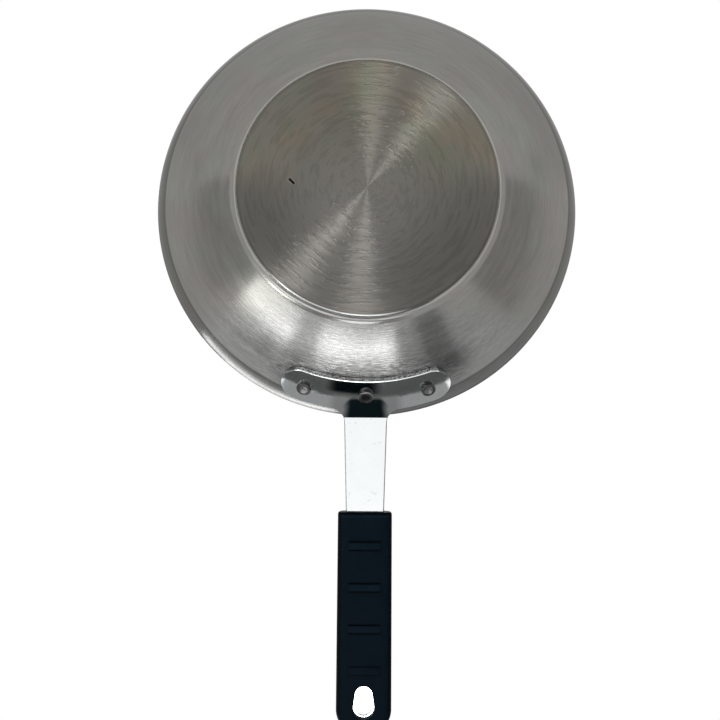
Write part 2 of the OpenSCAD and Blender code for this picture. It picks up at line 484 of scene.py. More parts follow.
def dash(shader, at, angle, length, width):
    """1 on a short straight mark about a point in metres, seen along Z."""
    away = shader.vector("SUBTRACT", shader.place, (at[0], at[1], 0))
    along = shader.vector("DOT_PRODUCT", away, (cos(angle), sin(angle), 0))
    across = shader.vector("DOT_PRODUCT", away, (-sin(angle), cos(angle), 0))
    return shader.product(
        shader.fall(shader.maths("ABSOLUTE", along), length * 0.4, length * 0.5),
        shader.fall(shader.maths("ABSOLUTE", across), width * 0.3, width * 0.6))


def tinted(shader, colour, tone):
    plain = shader.node("CombineColor", Red=tone, Green=tone, Blue=tone).outputs[0]
    return shader.mix(1.0, colour, plain, "MULTIPLY")


def turned_base():
    s = Shader("turned_base")
    space = direction, radius = ring_space(s)
    y = s.axis(1)
    fine = ring_noise(s, space, 2.2, 2100, 3)
    lines = ring_noise(s, space, 1.4, 620, 2)
    comb = ring_noise(s, space, 1.2, 430, 2)
    cuts = s.rise(ring_noise(s, space, 4.0, 560, 3), 0.5, 0.6)

    tone = s.product(s.vary(fine, 0.95, 1.05), s.vary(lines, 0.96, 1.04))
    tone = s.darken(tone, cuts, 0.11)
    # Painted shade: darker patches on the base
    for at, size, soft, depth in BASE_SHADE_PATCHES:
        tone = s.darken(tone, spot(s, at, size, soft), depth)
    # Painted shade: the front of the base, away from its middle, is darker
    front = s.product(s.rise(radius, 0.020, 0.052), s.rise(y, 0.012, -0.004))
    tone = s.darken(tone, front, 0.2)
    # Painted shade: a dark line just inside the base's edge; then a painted highlight line on the
    # edge, on the lit side
    tone = s.darken(tone, s.rise(radius, (BASE_R - 1.2) * MM, (BASE_R - 0.7) * MM), 0.2)
    brim_highlight = s.product(lit_side(s, direction), ring(s, radius, *BRIM_HIGHLIGHT[:3]))
    tone = s.darken(tone, brim_highlight, BRIM_HIGHLIGHT[3])
    # The nick: a painted highlight round it, and painted shade in its groove
    tone = s.darken(tone, dash(s, NICK_AT, 45, 0.0046, 0.0024), -0.3)
    tone = s.darken(tone, dash(s, NICK_AT, 45, 0.0040, 0.0013), 0.95)

    long = s.vector("MULTIPLY", s.place, (1.25, 0.7, 1.0))
    stain = s.rise(s.noise(long, 46, 3, 0.5), 0.43, 0.57)
    patch = s.product(s.remap(s.noise(s.place, 30, 2, 0.5), 0.4, 0.6, 0.4, 1),
                      s.remap(radius, 0.012, 0.042, 0.35, 1.0, True), s.rise(y, -0.012, 0.018))
    brown, olive = grey(0.173, (1.13, 1.0, 0.80)), grey(0.173, (1.0, 1.0, 0.78))
    colour = s.mix(patch, grey(0.171, (1.04, 1.0, 0.92)), s.mix(stain, brown, olive))
    colour = s.mix(brim_highlight, colour, grey(0.18, (0.98, 1.0, 1.0)))

    coarse = s.remap(radius, 0.004, 0.020, 0.1, 1.0, True)
    height = s.total(s.product(fine, 0.5), lines, s.product(cuts, 1.3))
    rough = s.product(s.vary(lines, 0.33, 0.41), s.remap(radius, 0.002, 0.030, 0.74, 1.0))
    lean = s.product(s.vary(comb, -0.045, 0.045), coarse)
    tangent = s.vector("ADD", radial_tangent(s), s.vector("SCALE", direction, scale=lean))
    return s.finish(Base_Color=tinted(s, colour, tone), Metallic=1.0, Roughness=rough,
                    Anisotropic=1.0, Anisotropic_Rotation=0.25, Tangent=tangent,
                    Normal=s.bump(s.product(height, coarse), 0.00005))


def brushed_wall():
    s = Shader("brushed_wall")
    space = direction, radius = ring_space(s)
    y = s.axis(1)
    fine = ring_noise(s, space, 9.0, 1900, 3)
    streak = ring_noise(s, space, 3.0, 420, 2)
    scuff = ring_noise(s, space, 24.0, 2500, 4)
    cloud = s.noise(s.place, 26, 3, 0.55)

    tone = s.product(s.vary(fine, 0.94, 1.06), s.vary(streak, 0.95, 1.05),
                     s.remap(cloud, 0.35, 0.65, 0.96, 1.04))
    # Painted shade: darker patches on the wall, by the strap's ends, on the foot in front and at
    # the sides
    for at, size, soft, depth in WALL_SHADE_PATCHES:
        tone = s.darken(tone, spot(s, at, size, soft), depth)
    low = s.rise(y, -0.045, -0.072)
    worn = s.product(s.maths("MAXIMUM", s.rise(y, -0.074, -0.082), s.product(low, 0.35)),
                     s.remap(radius, 0.090, 0.094, 1, 0.3, True))
    tone = s.darken(tone, s.product(worn, s.remap(scuff, 0.40, 0.62, 0.8, -0.8)), 0.4)
    # Painted shade: the outer wall is darker on the back, away from the handle
    back = s.product(s.remap(radius, 0.078, 0.095, 0, 1), s.rise(y, 0, 0.03))
    tone = s.darken(tone, back, 0.17)

    crease, edge = WALL_TOP[0] * MM, RIM_R * MM
    # Painted shade: the lip band is darker than the wall, with darker lines along the crease and
    # at the rim's edge
    lip = s.remap(radius, crease - 0.0002, crease + 0.0004, 0, 1)
    tone = s.darken(tone, lip, 0.44)
    tone = s.darken(tone, s.fall(s.apart(radius, crease + 0.0003), 0.0001, 0.0006), 0.25)
    tone = s.darken(tone, s.rise(radius, edge - 0.0008, edge - 0.0003), 0.42)

    # Painted highlight: a bright ring just past the step. Then painted highlight and shade lines
    # on the lit side, and painted light making the wall a little lighter towards the foot
    tone = s.darken(tone, ring(s, radius, BASE_R + BASE_STEP_RUN + 0.15, 0.55, 0.25), -0.42)
    lit = lit_side(s, direction)
    for at, half, soft, depth in STEP_SHADE_AND_HIGHLIGHT_LINES:
        tone = s.darken(tone, s.product(lit, ring(s, radius, at, half, soft)), depth)
    tone = s.darken(tone, s.fall(radius, 0.066, 0.070), -0.07)
    # Painted glint: a bright speck on a ding in the foot
    tone = s.darken(tone, spot(s, DING_GLINT_AT, 0.0006, 0.0004), -3.0)

    height = s.total(s.product(fine, 0.6), streak,
                     s.product(scuff, s.remap(worn, 0, 1, 0.06, 0.5)))
    height = s.product(height, s.maths("SUBTRACT", 1.0, lip))
    stain = s.rise(s.noise(s.place, 48, 2, 0.5), 0.42, 0.58)
    colour = s.mix(stain, grey(0.208, (1.045, 1.0, 0.935)), grey(0.21, (1.005, 1.0, 0.925)))
    colour = s.mix(low, colour, grey(0.209, (0.995, 1.0, 0.985)))
    return s.finish(Base_Color=tinted(s, colour, tone), Metallic=1.0,
                    Roughness=s.vary(streak, 0.19, 0.25),
                    Anisotropic=0.62, Anisotropic_Rotation=0.25, Specular_Tint=grey(0.8),
                    Tangent=radial_tangent(s), Normal=s.bump(height, 0.00005))


def spun_inside():
    s = Shader("spun_inside")
    fine = ring_noise(s, ring_space(s), 3.0, 1200, 3)
    cloud = s.noise(s.place, 30, 3, 0.55)
    tone = s.product(s.vary(fine, 0.94, 1.06), s.remap(cloud, 0.35, 0.65, 0.96, 1.04))
    return s.finish(Base_Color=tinted(s, grey(0.33, (1.01, 1.0, 0.97)), tone), Metallic=1.0,
                    Roughness=s.vary(cloud, 0.38, 0.46),
                    Anisotropic=0.7, Anisotropic_Rotation=0.25,
                    Tangent=radial_tangent(s), Normal=s.bump(fine, 0.00003))


def plated_steel():
    s = Shader("plated_steel")
    grain = s.noise(s.place, 900, 3, 0.6)
    ripple = s.noise(s.place, 110, 2, 0.5)
    pits = s.remap(s.noise(s.place, 420, 2, 0.5), 0.66, 0.74, 0.0, 1.0)
    colour = s.mix(s.remap(ripple, 0.35, 0.65, 0, 1), grey(0.955, (0.965, 0.995, 1.0)),
                   grey(0.93, (0.96, 0.995, 1.0)))
    colour = s.mix(s.product(pits, 0.22), colour, grey(0.45))
    height = s.total(s.product(grain, 0.12), ripple)
    return s.finish(Base_Color=colour, Metallic=1.0, Roughness=s.vary(grain, 0.05, 0.09),
                    Normal=s.bump(height, 0.00004))


def sheared_edge():
    s = Shader("sheared_edge")
    torn = s.noise(s.vector("MULTIPLY", s.place, (1.0, 1.0, 0.35)), 1500, 3, 0.65)
    colour = s.mix(s.remap(torn, 0.4, 0.58, 0, 1), grey(0.06, (0.98, 1.0, 1.0)), grey(0.9))
    return s.finish(Base_Color=colour, Metallic=0.85, Roughness=s.vary(torn, 0.35, 0.55),
                    Normal=s.bump(torn, 0.0003))


def painted_shade_edge():
    s = Shader("painted_shade_edge")
    grain = s.noise(s.place, 700, 3, 0.6)
    # Painted shade: darker than the plating, for the shade along the sheet's side edges and round
    # the hole
    colour = s.mix(s.remap(grain, 0.35, 0.65, 0, 1), grey(0.17, (0.98, 1.0, 1.0)), grey(0.26))
    return s.finish(Base_Color=colour, Metallic=1.0, Roughness=s.vary(grain, 0.34, 0.5),
                    Normal=s.bump(grain, 0.00004))


def rivet_metal(name, light, dark):
    s = Shader(name)
    grain = s.noise(s.place, 1500, 3, 0.6)
    cloud = s.noise(s.place, 260, 2, 0.5)
    colour = s.mix(s.remap(cloud, 0.35, 0.65, 0, 1), grey(light, (1.0, 1.0, 0.99)),
                   grey(dark, (1.0, 1.0, 0.99)))
    return s.finish(Base_Color=colour, Metallic=1.0, Roughness=s.vary(grain, 0.4, 0.52),
                    Normal=s.bump(s.total(grain, cloud), 0.00008))


def grip_rubber():
    """Moulded rubber, with painted shade and highlight: dark lines along its ribs' edges and
    lighter rib tops, darker rounded sides, and a dark band at the mouth beside a bright line. It
    is lighter towards the mouth.
    """
    s = Shader("grip_rubber")
    grain = s.noise(s.place, 2600, 3, 0.6)
    cloud = s.noise(s.place, 90, 3, 0.55)
    mouth = bar_place(GRIP_START) @ Vector((0, 0, 0)) * MM
    away = s.vector("SUBTRACT", s.place, tuple(mouth))
    along = s.vector("DOT_PRODUCT", away, (0, -cos(BAR_RISE), sin(BAR_RISE)))
    along = s.product(along, 1 / MM)
    side = s.maths("ABSOLUTE", s.maths("DIVIDE", s.axis(0), MM))

    turn = s.maths("SUBTRACT", along, RIB_FIRST - RIB_PITCH / 2)
    turn = s.maths("DIVIDE", turn, RIB_PITCH)
    off = s.product(s.apart(s.maths("FRACT", turn), 0.5), RIB_PITCH)
    ribs = s.product(s.remap(turn, 0.0, 0.05, 0, 1), s.remap(turn, RIBS, RIBS + 0.05, 1, 0),
                     s.fall(side, RIB_L / 2 - 0.4, RIB_L / 2 + 0.6),
                     s.remap(turn, RIBS - 1, RIBS - 0.9, 1, 0.4))
    # Painted shade along the ribs' edges, and painted light on their tops
    tone = s.darken(1.0, s.product(ribs, s.fall(s.apart(off, RIB_W / 2), 0.1, 0.8)), 0.75)
    tone = s.darken(tone, s.product(ribs, s.fall(off, RIB_W / 2 - 0.9, RIB_W / 2 - 0.4)), -0.3)

    edge = GRIP_MOUTH_W / 2
    # Painted shade on the rounded sides and at the mouth, and a painted highlight line just
    # inside the mouth
    tone = s.darken(tone, s.rise(side, edge - 2.0, edge - 0.7), 0.75)
    tone = s.darken(tone, s.fall(along, 0.7, 1.3), 0.8)
    tone = s.darken(tone, s.fall(s.apart(along, 1.9), 0.1, 0.6), -0.5)
    tone = s.product(tone, s.remap(along, 0, GRIP_L, 1.15, 0.9))
    colour = s.mix(s.remap(cloud, 0.35, 0.65, 0, 1), (0.0020, 0.0075, 0.0125, 1),
                   (0.0042, 0.0095, 0.0160, 1))
    return s.finish(Base_Color=tinted(s, colour, tone), Roughness=s.vary(cloud, 0.5, 0.62),
                    Specular_IOR_Level=0.015, Normal=s.bump(grain, 0.00004, 0.6))


# Bowl
def bowl():
    foot_c = on_arc(WALL_FOOT, -FOOT_R, FOOT_SLOPE)
    step_at = (BASE_R + BASE_STEP_RUN, BASE_STEP)
    step_slope = slope_of(BASE_STEP_RUN, BASE_STEP)
    to_rim = (RIM_C[0] - WALL_TOP[0], RIM_C[1] - WALL_TOP[1])
    lip_slope = slope_of(*to_rim) - math.degrees(math.asin(WALL_T / 2 / math.hypot(*to_rim)))
    floor_end_slope = FOOT_SLOPE + FLOOR_END_RISE
    floor_end = on_arc(WALL_C, WALL_R - WALL_T, floor_end_slope)
    floor_r = (floor_end[1] - FLOOR_T) / (1 - cos(floor_end_slope))
    floor_c = on_arc(floor_end, -floor_r, floor_end_slope)
    inner_top = on_arc(WALL_C, WALL_R - WALL_T, TOP_SLOPE)

    line = Profile((0, 0))
    line.line_to((BASE_R - 1, 0), 20)
    line.corner((BASE_R, 0), 0, step_slope, BASE_EDGE_R, 5)
    line.zone = 1
    line.corner(step_at, step_slope, FOOT_START_SLOPE, STEP_EDGE_R, 5)
    line.arc(foot_c, FOOT_R, FOOT_START_SLOPE, FOOT_SLOPE, 8)
    line.arc(WALL_C, WALL_R, FOOT_SLOPE, TOP_SLOPE - 0.6, 30)
    lip_end = on_arc(RIM_C, WALL_T / 2, LIP_END_SLOPE)
    lip = (lip_end[0] - WALL_TOP[0], lip_end[1] - WALL_TOP[1])
    lip_turn = LIP_END_SLOPE - slope_of(*lip)
    lip_r = math.hypot(*lip) / 2 / sin(lip_turn)
    lip_c = on_arc(lip_end, -lip_r, LIP_END_SLOPE)
    line.arc(lip_c, lip_r, LIP_END_SLOPE - 2 * lip_turn, LIP_END_SLOPE, 12)
    line.arc(RIM_C, WALL_T / 2, LIP_END_SLOPE + 3, lip_slope + 180, 14)
    line.zone = 2
    line.corner(inner_top, lip_slope + 180, TOP_SLOPE + 180, INNER_CREASE_R, 6)
    for centre, radius, start, end, steps in (
            (WALL_C, WALL_R - WALL_T, TOP_SLOPE, floor_end_slope, 24),
            (floor_c, floor_r, floor_end_slope, 0, 16)):
        for slope in spread(start, end, steps)[1:]:
            line.points.append((*on_arc(centre, radius, slope), slope + 180, 2))
    line.line_to((0, FLOOR_T), 12)
    return lathe("turned_bowl", line, 288, [turned_base(), brushed_wall(), spun_inside()])


# Handle
STRAP_TOP = STRAP_W - STRAP_OVER
STRAP_MID = STRAP_TOP - STRAP_W / 2
FACE_R = WALL_R + PLAY + STEEL_T
TURN_R = on_arc(WALL_C, WALL_R + STEEL_T, slope_at(STRAP_MID))[0]
STRAP_RUN = FACE_R * math.radians(TOP_SLOPE - slope_at(STRAP_TOP))
BEND_LEG = BEND_R * math.tan(math.radians(TOP_SLOPE - BAR_RISE) / 2)
CORNER = STRAP_RUN + TAIL_L + BEND_LEG
BEND_TO = CORNER + BEND_LEG
CREASE_AT = on_arc(WALL_C, FACE_R, TOP_SLOPE)
BEND_AT = ahead(CREASE_AT, TAIL_L, TOP_SLOPE)
BEND_C = on_arc(BEND_AT, BEND_R, TOP_SLOPE)
BAR_AT = on_arc(BEND_C, -BEND_R, BAR_RISE)


def strap_line(run):
    """Side view of the strap's underside at a run from its top: point and slope."""
    if run < STRAP_RUN:
        slope = slope_at(STRAP_TOP) + math.degrees(run / FACE_R)
        return on_arc(WALL_C, FACE_R, slope), slope
    return ahead(CREASE_AT, run - STRAP_RUN, TOP_SLOPE), TOP_SLOPE


def bend_start(across):
    """Run at which the bend starts. It reaches up to the middle rivet in an arch,
    because the sheet is formed from round to flat there, and the strap's lower
    edges stay clear of it."""
    share = min(abs(across) / ARCH_HALF_W, 1.0)
    clear = ARCH_CLEAR * smooth((abs(across) - ARCH_HALF_W) / ARCH_CLEAR_RUN)
    rise = ARCH_RISE * (1 - share ** ARCH_POWERS[0]) ** ARCH_POWERS[1]
    return clear + CORNER - BEND_LEG - rise


def sheet_line(across, run, height):
    """Side view of the sheet: the point at a height into its thickness."""
    begin = bend_start(across)
    if run <= begin:
        at, slope = strap_line(run)
    elif run >= BEND_TO:
        at, slope = ahead(BAR_AT, run - BEND_TO, BAR_RISE), BAR_RISE
    else:
        start, start_slope = strap_line(begin)
        turn = sin(start_slope - BAR_RISE)
        away = (BAR_AT[0] - start[0], BAR_AT[1] - start[1])
        leg_in = (away[1] * cos(BAR_RISE) - away[0] * sin(BAR_RISE)) / turn
        leg_out = (away[1] * cos(start_slope) - away[0] * sin(start_slope)) / -turn
        corner = ahead(start, leg_in, start_slope)
        share = (run - begin) / (BEND_TO - begin)
        ratio = leg_out / leg_in
        t = share if abs(ratio - 1) < 1e-3 else (
            (math.sqrt(1 + (ratio ** 2 - 1) * share) - 1) / (ratio - 1))
        at = tuple((1 - t) ** 2 * p + 2 * t * (1 - t) * c + t * t * q
                   for p, c, q in zip(start, corner, BAR_AT))
        run_x = (1 - t) * (corner[0] - start[0]) + t * (BAR_AT[0] - corner[0])
        run_y = (1 - t) * (corner[1] - start[1]) + t * (BAR_AT[1] - corner[1])
        slope = slope_of(run_x, run_y)
    return at[0] - height * sin(slope), at[1] + height * cos(slope)


def sheet_point(across, run, height):
    """The strap follows the bowl and the bar is flat, so the sheet goes from
    turned to flat over the bend."""
    out, up = sheet_line(across, run, height)
    begin = bend_start(across)
    flat = smooth((run - begin) / (BEND_TO + 1 - begin))
    turn = across / TURN_R
    x = (1 - flat) * out * math.sin(turn) + flat * across
    y = -(1 - flat) * out * math.cos(turn) - flat * out
    return Vector((x, y, up))


def arc_2d(centre, radius, start, end, steps):
    return [(centre[0] + radius * cos(a), centre[1] + radius * sin(a))
            for a in spread(start, end, steps)]


def oblong_loop(x, y, radius, steps):
    """Rounded oblong. The centres of its corner arcs are x and y from its middle."""
    loop = []
    for cx, cy, start in ((x, -y, -90), (x, y, 0), (-x, y, 90), (-x, -y, 180)):
        loop += arc_2d((cx, cy), radius, start, start + 90, steps)
    return loop


def strap_outline():
    """Right half of the sheet's outline, from the top of the strap to the bar's
    tip, as (across, run), then mirrored into a closed loop."""
    ends = STRAP_L / 2 - STRAP_W / 2
    root = BAR_ROOT_W / 2
    tip = BEND_TO + BAR_L - BAR_GRIP_W / 2
    half = [(x, 0.0) for x in spread(0, ends, 18)]
    half += arc_2d((ends, STRAP_W / 2), STRAP_W / 2, -90, 90, 36)[1:]
    half += [(x, STRAP_W) for x in spread(ends, root + ROOT_FILLET, 10)[1:]]
    half += arc_2d((root + ROOT_FILLET, STRAP_W + ROOT_FILLET), ROOT_FILLET, 270, 180, 16)[1:]
    half += [(root + (BAR_GRIP_W / 2 - root) * t, STRAP_W + ROOT_FILLET
              + (BEND_TO + GRIP_START - STRAP_W - ROOT_FILLET) * t) for t in spread(0, 1, 24)[1:]]
    half += [(BAR_GRIP_W / 2, y) for y in spread(BEND_TO + GRIP_START, tip, 16)[1:]]
    half += arc_2d((0, tip), BAR_GRIP_W / 2, 0, 90, 14)[1:]
    return half + [(-x, y) for x, y in reversed(half) if x > TINY]


def egg_outline(grow, wide_at):
    """Outline of the hanging hole, in (across, run)."""
    r_in, r_out = HOLE_R_IN + grow, HOLE_R_OUT + grow
    tilt = math.degrees(math.asin((r_out - r_in) / HOLE_RUN))
    wide = arc_2d((0, wide_at), r_out, -tilt, 180 + tilt, 28)
    narrow = arc_2d((0, wide_at - HOLE_RUN), r_in, 180 + tilt, 360 - tilt, 22)
    return wide + narrow


def loop_normals(loop):
    """Unit normals to the right of a closed loop's direction of travel."""
    found = []
    for i, (x, y) in enumerate(loop):
        ax, ay = loop[i - 1]
        bx, by = loop[(i + 1) % len(loop)]
        before = Vector((x - ax, y - ay)).normalized()
        after = Vector((bx - x, by - y)).normalized()
        along = (before + after).normalized()
        found.append(Vector((along.y, -along.x)))
    return found


def inside(loop, x, y):
    crossed = False
    for i, (ax, ay) in enumerate(loop):
        bx, by = loop[i - 1]
        if (ay > y) != (by > y) and x < ax + (y - ay) / (by - ay) * (bx - ax):
            crossed = not crossed
    return crossed


def clear_of(loops, x, y):
    return all(math.hypot(x - a, y - b) > NET_GAP for loop in loops for a, b in loop)


def edge_zone(run, strip, strips):
    """The strap's top edge is torn and bright. The other edges carry painted shade: a darker
    metal than the plating.
    """
    if run > TORN_RUN:
        return 2
    return 0 if strip < strips // 2 else 1


def edge_radius(run):
    """The strap's top edge is rolled over more than its other edges."""
    if run < CORNER:
        return TOP_EDGE_R + (SIDE_EDGE_R - TOP_EDGE_R) * smooth((run - TORN_RUN) / EDGE_EASE)
    return SIDE_EDGE_R + (BAR_EDGE_R - SIDE_EDGE_R) * smooth((run - CORNER) / EDGE_EASE)


def sheet_rows():
    rows = spread(1.0, CORNER - BEND_LEG - ARCH_RISE - 0.5, 9)
    rows += spread(CORNER - BEND_LEG - ARCH_RISE, BEND_TO + 1, 38)
    return rows + spread(BEND_TO + 3, BEND_TO + BAR_L - 3, 40)


def handle():
    """One stamped sheet: a riveted strap, a bend under the lip, and the bar."""
    points, normals, faces, zones = [], [], [], []

    def add(across, run, height, lean, side):
        """Adds a point whose normal leans from the underside, at lean 0, out to
        the loop's side, at 90, and on to the upper face, at 180."""
        at = sheet_point(across, run, height)
        step = 0.02
        u = sheet_point(across + step, run, height) - sheet_point(across - step, run, height)
        v = sheet_point(across, run + step, height) - sheet_point(across, run - step, height)
        u.normalize()
        v.normalize()
        under = u.cross(v).normalized()
        out = (u * side[0] + v * side[1]).normalized() if side else Vector((0, 0, 0))
        points.append(at * MM)
        normals.append((under * cos(lean) + out * sin(lean)).normalized())
        return len(points) - 1

    rounding = [(a, 1 - sin(a), 1 - cos(a)) for a in spread(0, 90, 5)]
    plan, edges, under, upper, inner = [], [], [], [], []
    for loop in (strap_outline(), egg_outline(0, BEND_TO + HOLE_AT)):
        rim = list(zip(loop, loop_normals(loop), [edge_radius(y) for _, y in loop]))
        stack = []
        for lean, inset, rise in rounding:
            stack.append([add(x - n.x * inset * r, y - n.y * inset * r, rise * r, lean, n)
                          for (x, y), n, r in rim])
        for lean, inset, rise in reversed(rounding):
            stack.append([add(x - n.x * inset * r, y - n.y * inset * r, STEEL_T - rise * r,
                              180 - lean, n) for (x, y), n, r in rim])
        for k, (low, high) in enumerate(zip(stack, stack[1:])):
            for i in range(len(loop)):
                faces.append((low[i], low[i - 1], high[i - 1], high[i]))
                zones.append(edge_zone(loop[i][1], k, len(stack) - 1))
        start, count = len(plan), len(loop)
        edges += [(start + i, start + (i + 1) % count) for i in range(count)]
        inner.append([(x - n.x * r, y - n.y * r) for (x, y), n, r in rim])
        plan += inner[-1]
        under += stack[0]
        upper += stack[-1]

    rim_count = len(plan)
    for run in sheet_rows():
        for across in spread(-STRAP_L / 2, STRAP_L / 2, 56):
            if (inside(inner[0], across, run) and not inside(inner[1], across, run)
                    and clear_of(inner, across, run)):
                plan.append((across, run))
    for x, y in plan[rim_count:]:
        under.append(add(x, y, 0, 0, None))
        upper.append(add(x, y, STEEL_T, 180, None))
    out = delaunay_2d_cdt([Vector(p) for p in plan], edges, [], 1, TINY)
    source = [o[0] for o in out[3]]
    for corner in out[2]:
        x = sum(out[0][i][0] for i in corner) / 3
        y = sum(out[0][i][1] for i in corner) / 3
        if inside(inner[1], x, y):
            continue
        a, b, c = (source[i] for i in corner)
        faces.append((under[a], under[b], under[c]))
        faces.append((upper[c], upper[b], upper[a]))
        zones += [0, 0]
    return new_piece("strap_handle", points, faces, [plated_steel(), sheared_edge(), painted_shade_edge()],
                     normals, zones)


# Rivets
def wall_place(turn, down, out):
    """Matrix to a point of the wall, in millimetres, with +Z out of the wall."""
    slope = slope_at(down)
    x, z = on_arc(WALL_C, WALL_R + out, slope)
    return (Matrix.Rotation(math.radians(turn), 4, "Z")
            @ Matrix.Translation((0, -x, z))
            @ Matrix.Rotation(math.radians(180 - slope), 4, "X"))


def rivet(name, turn, down, metals):
    """A domed head inside the bowl, a shank, and a peened stub outside."""
    dome_r = ((HEAD_D / 2) ** 2 + HEAD_H ** 2) / 2 / HEAD_H
    dome_end = math.degrees(math.asin(HEAD_D / 2 / dome_r))
    head_top = -WALL_T - HEAD_H
    out = PLAY + STEEL_T + STUB_H
    shank = RIVET_D / 2
    line = Profile()
    line.arc((0, head_top + dome_r), dome_r, 0, dome_end, 12)
    line.arc((HEAD_D / 2 - 0.12, -WALL_T + 0.1), HEAD_EDGE_R, 40, 130, 4)
    line.line_to((shank, -WALL_T + 0.5))
    line.zone = 2
    line.line_to((shank, out - STUB_EDGE_R), 2)
    line.zone = 3
    line.arc((shank - STUB_EDGE_R, out - STUB_EDGE_R), STUB_EDGE_R, 90, 180, 6)
    line.corner((DISH_RIM, out), 180, 215, DISH_EDGE_R, 4)
    line.zone = 1
    line.arc((0, out + DISH_CENTRE), -DISH_R, 214, 180, 8)
    line.points[-1] = (0, line.points[-1][1], 180, 1)
    return lathe(name, line, 56, metals, wall_place(turn, down, 0))


# Grip
def bar_place(along):
    """Matrix to the bar's middle plane, in millimetres: +Y out along it, +Z up."""
    return (Matrix.Translation((0, -BAR_AT[0], BAR_AT[1]))
            @ Matrix.Rotation(math.radians(-BAR_RISE), 4, "X")
            @ Matrix.Rotation(math.pi, 4, "Z")
            @ Matrix.Translation((0, along, STEEL_T / 2)))


def grip_ring(y, width, thick, radius):
    """Rounded oblong across the grip."""
    return [(x, y, z)
            for x, z in oblong_loop(width / 2 - radius, thick / 2 - radius, radius, 8)]


def solid(name, rings, materials=()):
    """Closed skin over a row of equal rings."""
    points = [Vector(p) for ring in rings for p in ring]
    count = len(rings[0])
    faces = [tuple(range(count)), tuple(reversed(range(len(points) - count, len(points))))]
    for k in range(len(rings) - 1):
        a, b = k * count, (k + 1) * count
        for i in range(count):
            j = (i + 1) % count
            faces.append((a + j, a + i, b + i, b + j))
    piece = new_piece(name, points, faces, materials)
    join_doubles(piece)
    return piece


def grip_body(material):
    """A slow taper from the mouth, and a far end that is round in plan and side."""
    end_r = GRIP_END_W / 2
    rings = []
    for a in spread(90, 0, 6):
        inset = MOUTH_EDGE_R * (1 - cos(a))
        y = MOUTH_EDGE_R * (1 - sin(a))
        rings.append(grip_ring(y, GRIP_MOUTH_W - 2 * inset, GRIP_T - 2 * inset,
                               GRIP_EDGE_R - inset))
    straight = GRIP_L - end_r
    for t in spread(0, 1, 20)[1:]:
        y = MOUTH_EDGE_R + (straight - MOUTH_EDGE_R) * t
        rings.append(grip_ring(y, GRIP_MOUTH_W + (GRIP_END_W - GRIP_MOUTH_W) * t,
                               GRIP_T, GRIP_EDGE_R))
    for a in spread(0, 90, 30)[1:-1]:
        width = 2 * end_r * cos(a)
        past = end_r * sin(a)
        over = max(0.0, past - (end_r - GRIP_EDGE_R))
        thick = GRIP_T - 2 * (GRIP_EDGE_R - math.sqrt(GRIP_EDGE_R ** 2 - over ** 2))
        radius = min(GRIP_EDGE_R, 0.49 * width, 0.49 * thick)
        rings.append(grip_ring(straight + past, width, thick, radius))
    return solid("rubber_grip", [list(reversed(r)) for r in rings], [material])


def prism(name, outline, low, high, flare=0.0):
    """A plan outline, as points (x, y), drawn up from low to high. flare widens
    it at both ends, with a rounded throat."""
    normals = loop_normals(outline)
    rings = []
    if flare:
        levels = [(low - 1, flare)] + [(low + flare * (1 - cos(a)), flare - flare * sin(a))
                                       for a in spread(0, 90, 6)]
        levels += [(high + low - z, grow) for z, grow in reversed(levels)]
    else:
        levels = [(low, 0), (high, 0)]
    for z, grow in levels:
        rings.append([(x + n.x * grow, y + n.y * grow, z)
                      for (x, y), n in zip(outline, normals)])
    return solid(name, rings)


def combine(piece, tool, operation):
    """Applies a boolean of tool to piece, and removes the tool."""
    step = piece.modifiers.new(operation, "BOOLEAN")
    step.operation = operation
    step.object = tool
    step.solver = "EXACT"
    graph = bpy.context.evaluated_depsgraph_get()
    mesh = bpy.data.meshes.new_from_object(piece.evaluated_get(graph))
    piece.modifiers.clear()
    old = piece.data
    piece.data = mesh
    bpy.data.meshes.remove(old)
    bpy.data.objects.remove(tool)


def rib_tool(y, face):
    """A rounded rib lying across one face."""
    top = GRIP_T / 2 + RIB_H
    rings = []
    for z, grow in [(GRIP_T / 2 - 1, 0)] + [(top - down, grow) for down, grow in RIB_ROUNDING]:
        long, wide, r = RIB_L / 2 + grow, RIB_W / 2 + grow, RIB_CORNER_R + grow
        rings.append([(a, y + b, face * z) for a, b in oblong_loop(long - r, wide - r, r, 5)])
    return solid("rib", rings)


def grip():
    """The rubber sleeve, with the pocket for the bar and the hanging hole."""
    piece = grip_body(grip_rubber())
    bpy.context.view_layer.update()
    for i in range(RIBS):
        for face in (-1, 1):
            combine(piece, rib_tool(RIB_FIRST + i * RIB_PITCH, face), "UNION")
    width = BAR_GRIP_W + 2 * POCKET_GAP
    deep = BAR_L - GRIP_START + POCKET_GAP
    pocket = [(-width / 2, -1), (width / 2, -1)]
    pocket += arc_2d((0, deep - width / 2), width / 2, 0, 180, 24)
    gap = STEEL_T / 2 + POCKET_GAP
    combine(piece, prism("pocket", pocket, -gap, gap), "DIFFERENCE")
    hole = egg_outline(HOLE_MARGIN, HOLE_AT - GRIP_START)
    combine(piece, prism("hole", hole, -GRIP_T / 2, GRIP_T / 2, THROAT_R), "DIFFERENCE")
    place = Matrix.Scale(MM, 4) @ bar_place(GRIP_START)
    piece.data.transform(place)
    piece.data.shade_smooth()
    piece.data.set_sharp_from_angle(angle=math.radians(38))
    return piece


# Camera and stage, in metres, with the roll in degrees and the lens in millimetres
BOWL_MIDDLE = (0, 0, 0.02)
STRAP_MIDDLE = (0, -0.09, 0.028)
CAMERA_AT = Vector((0.0063638, -0.2178757, -0.8320790))
CAMERA_AIM = Vector((0.0029865, -0.0815511, 0.0))
CAMERA_ROLL = 0.36679
CAMERA_LENS = 92.25
FLOOR_GAP = 0.0003
FLOOR_REACH = 6.0
WORLD_LEVEL = 0.45

